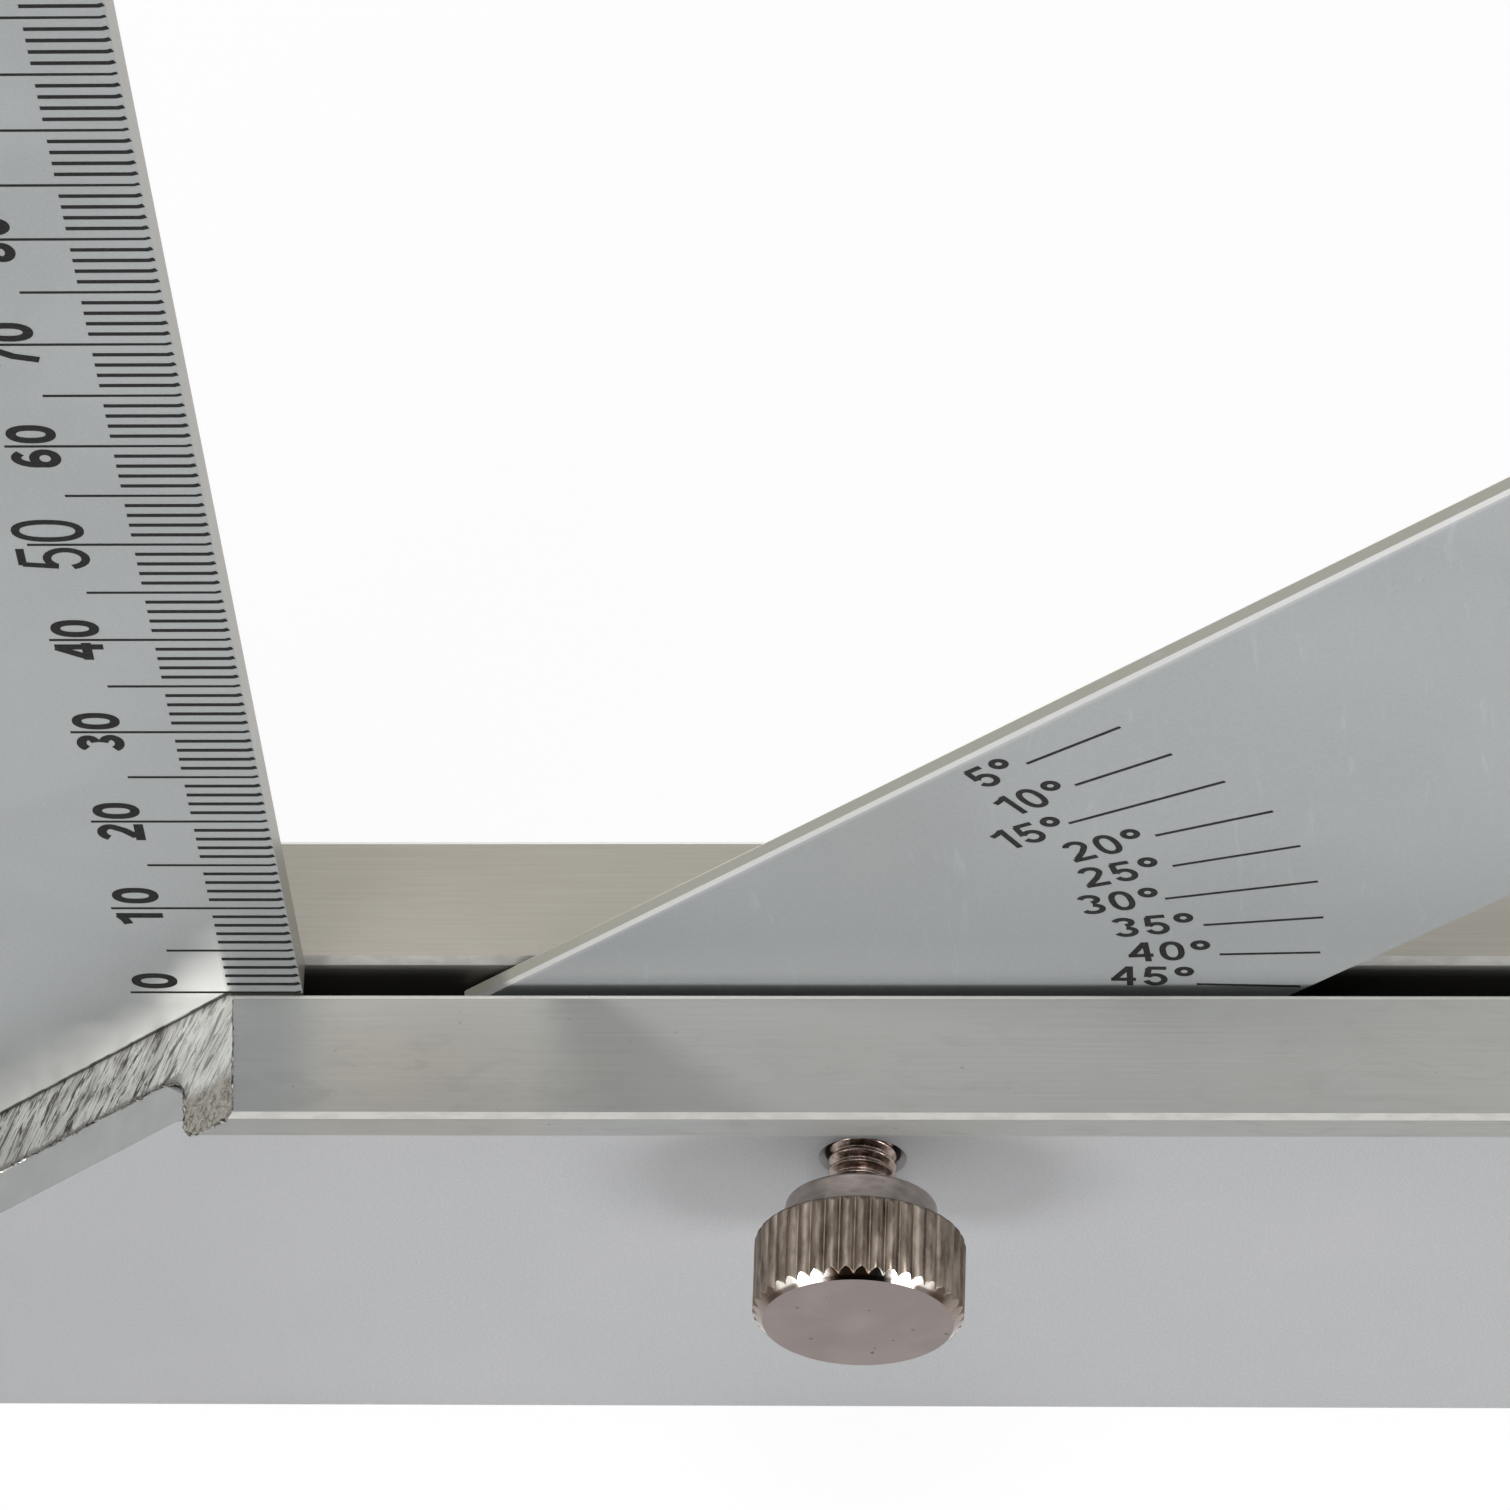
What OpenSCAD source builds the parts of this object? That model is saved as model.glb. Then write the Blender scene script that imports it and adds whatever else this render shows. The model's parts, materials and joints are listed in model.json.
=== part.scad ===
// Protractor square: a slotted, flanged stock with one mitred end, a fixed scale blade
// and a protractor blade that tilts in the slot and is held by a knurled thumbscrew.
// Frame: x along the fence with 0 at the scale blade's inner edge, y across the stock with
// 0 in the middle of the slot and the thumbscrew on the negative side, z up with 0 at the fence.

/* [Stock] */
// Length of the fence from the inner edge of the scale blade to the square end
fence_len = 150; // [140:5:300]
// Height of the stock from its foot to the fence
stock_h = 40; // [40:1:60]
// Width of the slot, which is the thickness of the scale blade
slot_w = 2; // [1.8:0.1:3]
// Distance from the inner edge back to the top of the mitre
mitre_setback = 4; // [2:0.5:8]
// Thickness of each rail's upright wall
wall_t = 3.9; // [3.5:0.1:5]
// Width of each rail's flange from the slot to its outer face
flange_w = 8; // [7.5:0.1:10]
// Thickness of each rail's flange
flange_t = 3.1; // [2.4:0.1:3.6]
// Radius of the fillet between a rail's wall and its flange
root_round = 1; // [0.3:0.1:1.5]
// Angle by which the sawn ends of the rails run out of square
saw_skew = 3; // [0:0.5:4]
// Chamfer along the slot's edges
slot_chamfer = 0.4; // [0.1:0.1:0.8]
// Chamfer along the flange's upper outer edge
rim_chamfer = 0.3; // [0.1:0.1:0.6]
// Radius of the flange's lower outer corner
flange_round = 1; // [0.3:0.1:1.5]
// Thickness of each cheek plate
cheek_t = 2.8; // [2.5:0.1:3.2]

/* [Scale blade] */
// Length of the scale blade above the fence
scale_len = 255; // [150:5:400]
// How far the scale blade's inner edge steps back below the fence
heel_relief = 1; // [0.5:0.1:2]
// How far below the fence the step starts
heel_drop = 0.3; // [0.2:0.1:1]
// Radius of the scale blade's upper corners
tip_round = 2; // [0.5:0.5:5]
// Diameter of the hanging hole
hang_d = 8; // [5:0.5:12]
// Distance from the blade's top to the middle of the hanging hole
hang_drop = 12; // [10:1:20]

/* [Protractor blade] */
// Distance along the fence from the inner edge to the blade's vertex
vertex_x = 11.9; // [11.5:0.05:16]
// Width of the protractor blade
arm_w = 32; // [28:1:33]
// Thickness of the protractor blade
arm_t = 1.1; // [0.9:0.1:1.4]
// Length of the blade past its vertex
arm_len = 120; // [90:5:125]
// Length of the blade behind its vertex
arm_tail = 4; // [2:1:8]
// Angle of the blade above the fence as it is stored
arm_angle = 43.7; // [5:0.1:45]
// Bevel along the blade's edges
arm_bevel = 0.2; // [0.1:0.1:0.4]
// Gap between the blade and the slot's rear wall
arm_gap = 0.25; // [0.05:0.05:0.4]
// Clearance between the blade's corner, as it swings, and the spacer below it
sweep_gap = 0.7; // [0.3:0.1:1]

/* [Thumbscrew] */
// Distance from the inner edge to the screw's axis
clamp_x = 31.9; // [28:0.1:34]
// Depth of the screw's axis below the fence
clamp_depth = 7.6; // [7.2:0.1:9]
// Outside diameter of the thread
thread_d = 3.9; // [3:0.1:4.5]
// Radial clearance between a shank or a pin and its hole
running_gap = 0.03; // [0.02:0.01:0.08]
// Length of bare thread between the front cheek and the collar
bare_thread = 3.1; // [2.5:0.1:5]
// Diameter of the collar
collar_d = 8.7; // [7:0.1:9.5]
// Length of the collar
collar_len = 2.2; // [1:0.1:3]
// Diameter of the knurled head
knob_d = 12.1; // [11:0.1:12.5]
// Length of the knurled head with its end chamfer
knob_len = 5.2; // [4:0.1:8]
// Width of the polished chamfer round the end face
knob_chamfer = 0.5; // [0.3:0.1:0.9]
// Number of flutes in the knurl
knurl_count = 42; // [30:1:48]
// Depth of each flute
knurl_depth = 0.28; // [0.1:0.02:0.34]
// Length of the pressure pad
pad_len = 1.5; // [1:0.1:1.6]
// Diameter of the countersink round the screw's hole
hole_rim_d = 5.1; // [5:0.1:6]

/* [Spacers and fasteners] */
// Length of the end spacer along the fence
end_spacer_len = 8; // [7:0.5:8]
// Diameter of the dowel pins
dowel_d = 3; // [2:0.5:4]
// Thread diameter of the countersunk screws
screw_d = 3; // [2.5:0.5:3.5]
// Head diameter of the countersunk screws
screw_head_d = 5.6; // [5:0.1:6]
// Width across the flats of the screws' hexagon sockets
socket_w = 2; // [1.5:0.1:2]
// Depth of the screws' hexagon sockets
socket_depth = 1.2; // [0.8:0.1:1.4]
// How far the tip of an assembly screw stays short of the front rail's outer face
screw_short = 0.7; // [0.3:0.1:1]
// How far the tip of a cheek screw stays short of the front cheek's outer face
cheek_skin = 0.8; // [0.5:0.1:1]

/* [Hidden] */
$fn = 96;
eps = 0.01;
over = 1;                                     // how far a cutter reaches past the piece it cuts

slot_y = slot_w / 2;                          // slot face of each rail
wall_y = slot_y + wall_t;                     // seat of each cheek
cheek_y = wall_y + cheek_t;                   // outer face of each cheek
flange_y = slot_y + flange_w;                 // outer face of each flange
foot_z = -stock_h;
blade_w = mitre_setback + stock_h;            // the mitre runs out at the blade's outer edge

arm_rear_y = slot_y - arm_gap;
arm_front_y = arm_rear_y - arm_t;
pad_gap = 0.02;                               // paper-thin, so that the pad and the blade never cut
pad_rear_y = arm_front_y - pad_gap;
tip_y = pad_rear_y - pad_len - pad_gap;
collar_y = -cheek_y - bare_thread;
head_y = collar_y - collar_len;
end_y = head_y - knob_len;
tip_chamfer = 0.4;
collar_chamfer = 0.25;
pad_d = thread_d - 0.1;
cheek_hole_d = thread_d + 0.5;
flute_r = 0.5;                                // radius of the tool that cuts a flute

socket_d = 2 * socket_w / sqrt(3);
head_h = (screw_head_d - screw_d) / 2;        // 90 degree countersink
head_land = 0.15;                             // short cylinder at the head's rim
clear_gap = 0.1;

fastener_inset = 8;                           // from the inner edge to the nearest fastener
arm_reach = sqrt(pow(arm_tail, 2) + pow(arm_w, 2));
spacer_h = stock_h - arm_reach - sweep_gap;   // fills the slot below the swinging blade
spacer_mid_z = foot_z + spacer_h / 2;
end_mid_x = fence_len - end_spacer_len / 2;
dowel_z = -9.5;
dowel_span = 24;                              // along the fence between the two dowel pins
dowel_foot_inset = 4;                         // from the foot to the lower dowel pin
dowel_xz = [[-fastener_inset, dowel_z], [-fastener_inset - dowel_span, foot_z + dowel_foot_inset]];
heel_screw_z = -23;
heel_pitch = 15;                              // between the two screws at the blade's foot
heel_xz = [[-fastener_inset, heel_screw_z], [-fastener_inset, spacer_mid_z],
           [-fastener_inset - heel_pitch, spacer_mid_z]];
foot_screws = 3;
foot_from_x = 24;
foot_pitch = (end_mid_x - foot_from_x) / (foot_screws - 1);
foot_xz = [for (i = [0 : foot_screws - 1]) [foot_from_x + i * foot_pitch, spacer_mid_z]];
end_screw_z = -11;
end_xz = [[end_mid_x, end_screw_z]];
assembly_xz = concat(heel_xz, foot_xz, end_xz);
cheek_screw_z = -19;
cheek_screws_n = 4;
cheek_from_x = -13;
cheek_end_inset = 25;
cheek_pitch = (fence_len - cheek_end_inset - cheek_from_x) / (cheek_screws_n - 1);
cheek_screw_xz = [for (i = [0 : cheek_screws_n - 1]) [cheek_from_x + i * cheek_pitch, cheek_screw_z]];

// A plate that stands across y from y0 for t, cut to a 2D outline in x and z
module plate(y0, t) {
    translate([0, y0 + t, 0]) rotate([90, 0, 0]) linear_extrude(t) children();
}

// A bar along y from y0 for a length
module rod(x, z, y0, len, d) {
    translate([x, y0, z]) rotate([-90, 0, 0]) cylinder(h = len, d = d);
}

// A bar of one section in y and z, as long as the stock, with a 45 degree end; the cut can
// run out of square by an angle that opens from the slot outwards
module mitred_bar(skew) {
    difference() {
        translate([-blade_w, 0, 0]) rotate([90, 0, 90]) linear_extrude(blade_w + fence_len) children();
        translate([-mitre_setback, slot_y, 0]) rotate([0, 45, -skew])
            translate([-blade_w, -blade_w, -2 * blade_w]) cube([blade_w, 2 * blade_w, 3 * blade_w]);
    }
}

// Section of the rear rail in y and z: an upright wall under a flange, with a fillet between
module rail_section() {
    difference() {
        polygon([[slot_y, -slot_chamfer], [slot_y + slot_chamfer, 0],
                 [flange_y - rim_chamfer, 0], [flange_y, -rim_chamfer], [flange_y, -flange_t],
                 [wall_y + root_round, -flange_t], [wall_y + root_round, -flange_t - root_round],
                 [wall_y, -flange_t - root_round], [wall_y, foot_z], [slot_y, foot_z]]);
        translate([wall_y + root_round, -flange_t - root_round]) circle(root_round);
        translate([flange_y - flange_round, -flange_t]) difference() {
            translate([0, -over]) square([flange_round + over, flange_round + over]);
            translate([0, flange_round]) circle(flange_round);
        }
    }
}

module rail_blank() {
    mitred_bar(saw_skew) rail_section();
}

// The rear cheek before drilling: its upper inner corner is cut back for the rail's fillet
module cheek_blank() {
    mitred_bar(0) polygon([[wall_y, foot_z], [cheek_y, foot_z], [cheek_y, -flange_t],
                           [wall_y + root_round, -flange_t], [wall_y, -flange_t - root_round]]);
}

// A countersunk screw along y with its head's face at y0; side is the way its tip points
module flat_screw(x, z, y0, len, side) {
    translate([x, y0, z]) rotate([-90 * side, 0, 0]) difference() {
        rotate_extrude() polygon([[0, 0], [screw_head_d / 2, 0], [screw_head_d / 2, head_land],
            [screw_d / 2, head_land + head_h], [screw_d / 2, len - tip_chamfer],
            [screw_d / 2 - tip_chamfer, len], [0, len]]);
        translate([0, 0, -eps]) cylinder(h = socket_depth + eps, d = socket_d, $fn = 6);
    }
}

// The space that a countersunk head takes, opened past its seat's face
module head_space(x, z, y0, side) {
    translate([x, y0, z]) rotate([-90 * side, 0, 0]) rotate_extrude() polygon([[0, -over],
        [screw_head_d / 2 + running_gap, -over], [screw_head_d / 2 + running_gap, head_land],
        [screw_d / 2 + running_gap, head_land + head_h], [0, head_land + head_h]]);
}

// Holes for the dowel pins and the assembly screws between two faces
module dowel_holes(y0, t) {
    for (p = dowel_xz) rod(p[0], p[1], y0 - over, t + 2 * over, dowel_d + running_gap);
}

module screw_holes(places, y0, t, d) {
    for (p = places) rod(p[0], p[1], y0 - over, t + 2 * over, d);
}

module front_rail() {
    color([0.68, 0.67, 0.63]) difference() {
        mirror([0, 1, 0]) rail_blank();
        rod(clamp_x, -clamp_depth, -wall_y - over, wall_t + 2 * over, thread_d + 2 * running_gap);
        dowel_holes(-wall_y, wall_t);
        screw_holes(assembly_xz, -wall_y, wall_t, screw_d + 2 * running_gap);
        screw_holes(cheek_screw_xz, -wall_y, wall_t, screw_d + 2 * running_gap);
        for (p = cheek_screw_xz) head_space(p[0], p[1], -slot_y, -1);
    }
}

module rear_rail() {
    color([0.68, 0.67, 0.63]) difference() {
        rail_blank();
        dowel_holes(slot_y, wall_t);
        screw_holes(assembly_xz, slot_y, wall_t, screw_d + 2 * clear_gap);
    }
}

module front_cheek() {
    rim_r = hole_rim_d / 2;
    hole_r = cheek_hole_d / 2;
    color([0.72, 0.73, 0.74]) difference() {
        mirror([0, 1, 0]) cheek_blank();
        rod(clamp_x, -clamp_depth, -cheek_y - over, cheek_t + 2 * over, cheek_hole_d);
        translate([clamp_x, -cheek_y, -clamp_depth]) rotate([-90, 0, 0]) rotate_extrude()
            polygon([[0, -over], [rim_r + over, -over], [hole_r, rim_r - hole_r], [0, rim_r - hole_r]]);
        for (p = cheek_screw_xz) rod(p[0], p[1], -cheek_y + cheek_skin - clear_gap,
                                     cheek_t - cheek_skin + over, screw_d + 2 * running_gap);
    }
}

module rear_cheek() {
    color([0.72, 0.73, 0.74]) difference() {
        cheek_blank();
        screw_holes(assembly_xz, wall_y, cheek_t, screw_d + 2 * clear_gap);
        for (p = assembly_xz) head_space(p[0], p[1], cheek_y, -1);
    }
}

module scale_blade() {
    color([0.66, 0.68, 0.68]) difference() {
        plate(-slot_y, slot_w) difference() {
            polygon([[-blade_w, foot_z], [-heel_relief, foot_z], [-heel_relief, -heel_drop],
                     [0, -heel_drop], [0, scale_len], [-blade_w, scale_len]]);
            translate([-blade_w / 2, scale_len - hang_drop]) circle(d = hang_d);
            for (side = [-1, 1]) translate([-blade_w / 2 + side * (blade_w / 2 - tip_round),
                                            scale_len - tip_round]) difference() {
                translate([side > 0 ? 0 : -tip_round - over, 0]) square([tip_round + over, tip_round + over]);
                circle(tip_round);
            }
        }
        dowel_holes(-slot_y, slot_w);
        screw_holes(heel_xz, -slot_y, slot_w, screw_d + 2 * clear_gap);
    }
}

module bottom_spacer() {
    color([0.62, 0.63, 0.62]) difference() {
        translate([-heel_relief, -slot_y, foot_z]) cube([fence_len + heel_relief, slot_w, spacer_h]);
        screw_holes(foot_xz, -slot_y, slot_w, screw_d + 2 * clear_gap);
    }
}

module end_spacer() {
    color([0.62, 0.63, 0.62]) difference() {
        translate([fence_len - end_spacer_len, -slot_y, foot_z + spacer_h])
            cube([end_spacer_len, slot_w, stock_h - spacer_h - slot_chamfer]);
        screw_holes(end_xz, -slot_y, slot_w, screw_d + 2 * clear_gap);
    }
}

module dowel_pins() {
    color([0.7, 0.7, 0.72]) for (p = dowel_xz) rod(p[0], p[1], -wall_y, 2 * wall_y, dowel_d);
}

module assembly_screws() {
    color([0.35, 0.35, 0.37]) for (p = assembly_xz)
        flat_screw(p[0], p[1], cheek_y, cheek_y + wall_y - screw_short, -1);
}

module cheek_screws() {
    color([0.35, 0.35, 0.37]) for (p = cheek_screw_xz)
        flat_screw(p[0], p[1], -slot_y, cheek_y - slot_y - cheek_skin, -1);
}

// Section of the protractor blade across its width, in width and thickness
module arm_section() {
    polygon([[0, arm_bevel], [arm_bevel, 0], [arm_w - arm_bevel, 0], [arm_w, arm_bevel],
             [arm_w, arm_t - arm_bevel], [arm_w - arm_bevel, arm_t],
             [arm_bevel, arm_t], [0, arm_t - arm_bevel]]);
}

// The strip turns about the vertex, the point of its upper edge that lies on the fence
module protractor_blade() {
    color([0.66, 0.68, 0.7]) translate([vertex_x, arm_front_y, 0]) rotate([0, -arm_angle, 0])
        translate([-arm_tail, 0, 0]) rotate([90, 90, 90]) linear_extrude(arm_len + arm_tail) arm_section();
}

module pressure_pad() {
    color([0.75, 0.62, 0.35]) translate([clamp_x, pad_rear_y, -clamp_depth]) rotate([90, 0, 0])
        rotate_extrude() polygon([[0, 0], [pad_d / 2 - tip_chamfer / 2, 0], [pad_d / 2, tip_chamfer / 2],
                                  [pad_d / 2, pad_len], [0, pad_len]]);
}

// Turned screw: distances run from its tip at the pad to the polished end face
module thumbscrew() {
    to_collar = tip_y - collar_y;
    to_head = tip_y - head_y;
    to_end = tip_y - end_y;
    color([0.5, 0.46, 0.43]) translate([clamp_x, tip_y, -clamp_depth]) rotate([90, 0, 0]) difference() {
        rotate_extrude() polygon([[0, 0], [thread_d / 2 - tip_chamfer, 0], [thread_d / 2, tip_chamfer],
            [thread_d / 2, to_collar], [collar_d / 2 - collar_chamfer, to_collar],
            [collar_d / 2, to_collar + collar_chamfer], [collar_d / 2, to_head],
            [knob_d / 2 - collar_chamfer, to_head], [knob_d / 2, to_head + collar_chamfer],
            [knob_d / 2, to_end - knob_chamfer], [knob_d / 2 - knob_chamfer, to_end], [0, to_end]]);
        for (i = [0 : knurl_count - 1]) rotate(i * 360 / knurl_count)
            translate([knob_d / 2 + flute_r - knurl_depth, 0, to_head - over])
                cylinder(h = knob_len + 2 * over, r = flute_r);
    }
}

front_rail();
rear_rail();
front_cheek();
rear_cheek();
scale_blade();
bottom_spacer();
end_spacer();
dowel_pins();
assembly_screws();
cheek_screws();
protractor_blade();
pressure_pad();
thumbscrew();
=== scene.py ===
"""Looks of the protractor square: materials, printed marks, detailed thumbscrew, light and camera."""

import json
import math
import random

import bmesh
import bpy
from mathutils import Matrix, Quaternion, Vector

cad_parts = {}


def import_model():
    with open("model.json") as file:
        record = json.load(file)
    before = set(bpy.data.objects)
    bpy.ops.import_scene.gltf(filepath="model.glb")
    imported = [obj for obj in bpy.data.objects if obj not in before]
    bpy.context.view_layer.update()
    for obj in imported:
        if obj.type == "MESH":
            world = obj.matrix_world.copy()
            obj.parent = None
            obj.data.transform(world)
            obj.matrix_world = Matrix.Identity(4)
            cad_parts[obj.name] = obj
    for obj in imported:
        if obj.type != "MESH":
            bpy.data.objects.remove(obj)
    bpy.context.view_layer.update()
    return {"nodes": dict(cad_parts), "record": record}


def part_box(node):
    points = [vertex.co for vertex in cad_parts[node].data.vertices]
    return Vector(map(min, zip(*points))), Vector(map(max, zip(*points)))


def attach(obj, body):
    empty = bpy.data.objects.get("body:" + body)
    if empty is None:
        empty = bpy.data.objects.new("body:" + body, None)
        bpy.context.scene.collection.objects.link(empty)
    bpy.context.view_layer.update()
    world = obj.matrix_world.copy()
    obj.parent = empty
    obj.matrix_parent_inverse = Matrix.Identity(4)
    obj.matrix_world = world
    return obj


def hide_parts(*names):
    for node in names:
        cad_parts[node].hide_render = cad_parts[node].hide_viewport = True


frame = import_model()
MM = 0.001
random.seed(7)

# Places that the CAD gives, in millimetres: x along the fence, y to the back, z up


def node_box(name):
    low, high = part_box(name)
    return Vector(low) / MM, Vector(high) / MM


knob_low, knob_high = node_box("thumbscrew")
END_Y, TIP_Y = knob_low.y, knob_high.y
SCREW_X = (knob_low.x + knob_high.x) / 2
SCREW_Z = (knob_low.z + knob_high.z) / 2
KNOB_R = (knob_high.z - knob_low.z) / 2
rail_low, rail_high = node_box("front_rail")
FOOT_Z, FLANGE_FRONT = rail_low.z, rail_low.y
SLOT_HALF = -rail_high.y
# The mitre's upper edge, from which it falls at 45 degrees to the foot
MITRE_X = rail_low.x - rail_low.z
# The wall and the flange's underside, which the cheek touches
cheek_high = node_box("front_cheek")[1]
WALL_Y, FLANGE_UNDER = cheek_high.y, cheek_high.z
BLADE_FRONT = node_box("scale_blade")[0].y
ARM_FRONT = node_box("protractor_blade")[0].y
# The point on the fence where all the angle marks meet, and the protractor blade's lean at rest
tilt_joint = next(j for j in frame["record"]["behaviour"]["joints"] if j["name"] == "blade_tilt")
VERTEX = Vector((tilt_joint["pos_m"][0], tilt_joint["pos_m"][2])) / MM
TILT = math.radians(tilt_joint["range_deg"][1])
ARM_SIN, ARM_COS = math.sin(TILT), math.cos(TILT)
# The upper edge's height square to the protractor blade's length
ARM_TOP = max(v.co.z * ARM_COS - v.co.x * ARM_SIN
              for v in frame["nodes"]["protractor_blade"].data.vertices) / MM

# Materials


def put(tree, value, socket):
    """Gives a socket a value, or links another node's output to it."""
    if isinstance(value, bpy.types.NodeSocket):
        tree.links.new(value, socket)
    else:
        socket.default_value = value


def add_node(tree, kind, inputs=(), **settings):
    """A new node; inputs pairs a socket's name or number with a value or with another node's output."""
    node = tree.nodes.new(kind)
    for name, value in settings.items():
        setattr(node, name, value)
    for key, value in inputs:
        put(tree, value, node.inputs[key])
    return node


class Paint:
    """A node material: small calls that each add one or a few nodes and return an output."""

    def __init__(self, name):
        self.mat = bpy.data.materials.new(name)
        self.mat.use_nodes = True
        self.tree = self.mat.node_tree
        self.shader = self.tree.nodes["Principled BSDF"]
        coord = self.add("ShaderNodeTexCoord").outputs
        self.normal = coord["Normal"]
        self.mm = self.vector("MULTIPLY", coord["Object"], (1 / MM,) * 3)
        self.x, self.y, self.z = self.add("ShaderNodeSeparateXYZ", [(0, self.mm)]).outputs

    def add(self, kind, inputs=(), **settings):
        return add_node(self.tree, kind, inputs, **settings)

    def vector(self, operation, a, b=(0, 0, 0)):
        output = "Value" if operation in ("DOT_PRODUCT", "LENGTH") else "Vector"
        return self.add("ShaderNodeVectorMath", [(0, a), (1, b)], operation=operation).outputs[output]

    def math(self, operation, a, b=0.0):
        return self.add("ShaderNodeMath", [(0, a), (1, b)], operation=operation).outputs[0]

    def plus(self, a, b):
        return self.math("ADD", a, b)

    def minus(self, a, b):
        return self.math("SUBTRACT", a, b)

    def times(self, a, b):
        return self.math("MULTIPLY", a, b)

    def larger(self, a, b):
        return self.math("MAXIMUM", a, b)

    def magnitude(self, a):
        return self.math("ABSOLUTE", a)

    def span(self, value, start, end, low=0.0, high=1.0):
        """Maps start..end to low..high with smooth ends, clamped."""
        inputs = [("Value", value), ("From Min", start), ("From Max", end), ("To Min", low), ("To Max", high)]
        return self.add("ShaderNodeMapRange", inputs, interpolation_type="SMOOTHSTEP").outputs["Result"]

    def noise(self, scale, stretch=(1, 1, 1), detail=3.0, rough=0.5, warp=0.0, at=None, shift=(0, 0, 0)):
        """Noise with about `scale` features to the millimetre, stretched by axis."""
        where = self.vector("MULTIPLY", self.mm if at is None else at, tuple(scale * s for s in stretch))
        if any(shift):
            where = self.vector("ADD", where, shift)
        inputs = [("Vector", where), ("Scale", 1.0), ("Detail", detail), ("Roughness", rough)]
        return self.add("ShaderNodeTexNoise", inputs + [("Distortion", warp)]).outputs["Fac"]

    def mix(self, share, a, b):
        """Colour a with a share of colour b over it; the node's colour sockets are 6, 7 and output 2."""
        return self.add("ShaderNodeMix", [(0, share), (6, a), (7, b)], data_type="RGBA").outputs[2]

    def facing(self, direction, low, high):
        """1 where the surface faces a direction, 0 elsewhere; low and high are cosines."""
        unit = Vector(direction).normalized()
        return self.span(self.vector("DOT_PRODUCT", self.normal, tuple(unit)), low, high)

    def from_screw(self):
        """Distance from the thumbscrew's axis."""
        off = self.vector("SUBTRACT", self.mm, (SCREW_X, 0, SCREW_Z))
        return self.vector("LENGTH", self.vector("MULTIPLY", off, (1, 0, 1)))

    def bump(self, height, strength, distance=0.02):
        inputs = [("Strength", strength), ("Distance", distance * MM), ("Height", height)]
        return self.add("ShaderNodeBump", inputs).outputs["Normal"]

    def finish(self, color, rough, normal=None, metallic=1.0):
        put(self.tree, color, self.shader.inputs["Base Color"])
        put(self.tree, rough, self.shader.inputs["Roughness"])
        put(self.tree, metallic, self.shader.inputs["Metallic"])
        if normal is not None:
            put(self.tree, normal, self.shader.inputs["Normal"])
        return self.mat


def rgb(r, g, b):
    """A display colour, 0 to 255, as the shader's linear colour."""
    def linear(v):
        v /= 255
        return v / 12.92 if v <= 0.04045 else ((v + 0.055) / 1.055) ** 2.4
    return (linear(r), linear(g), linear(b), 1.0)


# Faces by their direction, each with the cosines at which its paint begins and is full
TOP_FACE = (0, 0, 1), 0.5, 0.9
FRONT_FACE = (0, -1, 0), 0.9, 0.95
RIGHT_FACE = (1, 0, 0), 0.9, 0.95
FRONT_CHAMFER = (0, -1, 1), 0.97, 0.99
REAR_CHAMFER = (0, 1, 1), 0.97, 0.99
MITRE_FACE = (-1, 0, 1), 0.97, 0.995


# Along the fence, the stretches over which the cool end turns warm and the warm part turns cool
COOL_TO_WARM, WARM_TO_COOL = (-1.6, 2.0), (12.5, 15.5)


def in_front(p):
    """1 on the thumbscrew's side of the slot, 0 behind it."""
    return p.span(p.y, -SLOT_HALF, 0.0, 1.0, 0.0)


def drawn_tint(p, cloud, drawn):
    """Drawn aluminium: warm near the corner, cool elsewhere, smeared and lightly streaked."""
    warm = p.times(p.span(p.x, *COOL_TO_WARM), p.span(p.x, *WARM_TO_COOL, 1.0, 0.0))
    warm = p.plus(p.times(warm, 0.6), p.span(cloud, 0.35, 0.65, 0.0, 0.3))
    tint = p.mix(warm, rgb(146, 148, 147), rgb(157, 154, 146))
    smear = p.noise(0.3, (0.6, 1.6, 1.6), detail=5, rough=0.65, warp=1.2, shift=(3, 7, 1))
    tint = p.mix(p.span(smear, 0.48, 0.72, 0.0, 0.34), tint, rgb(118, 118, 114))
    return p.mix(p.span(drawn, 0.35, 0.7, 0.0, 0.09), tint, rgb(196, 195, 188))


def fence_tint(p, tint):
    """The fence in front of the slot: cooler at the sawn end, lighter along the slot, with a fan of painted
    shadow.
    """
    fence = p.times(p.facing(*TOP_FACE), in_front(p))
    for along, start, end, low, high, tone in (
            (p.x, *COOL_TO_WARM, 0.55, 0.0, rgb(134, 138, 138)),
            (p.y, -5.0, -1.0, 0.0, 0.2, rgb(188, 188, 185)),
            (p.y, FLANGE_FRONT, -5.0, 0.22, 0.0, rgb(112, 112, 109)),
            (p.x, 2.0, 9.0, 0.0, 0.2, rgb(114, 112, 106)),
            (p.x, 16.0, 24.0, 0.0, 0.2, rgb(180, 180, 178))):
        tint = p.mix(p.times(fence, p.span(along, start, end, low, high)), tint, tone)
    # A painted shadow of the protractor blade: a fan that leans to the right and widens towards the front
    slant = p.times(p.y, -0.75)
    off = p.magnitude(p.minus(p.x, p.plus(slant, 14.8)))
    share = p.math("DIVIDE", off, p.plus(slant, 1.2))
    return p.mix(p.times(fence, p.span(share, 0.25, 1.1, 0.42, 0.0)), tint, rgb(108, 108, 105))


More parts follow.
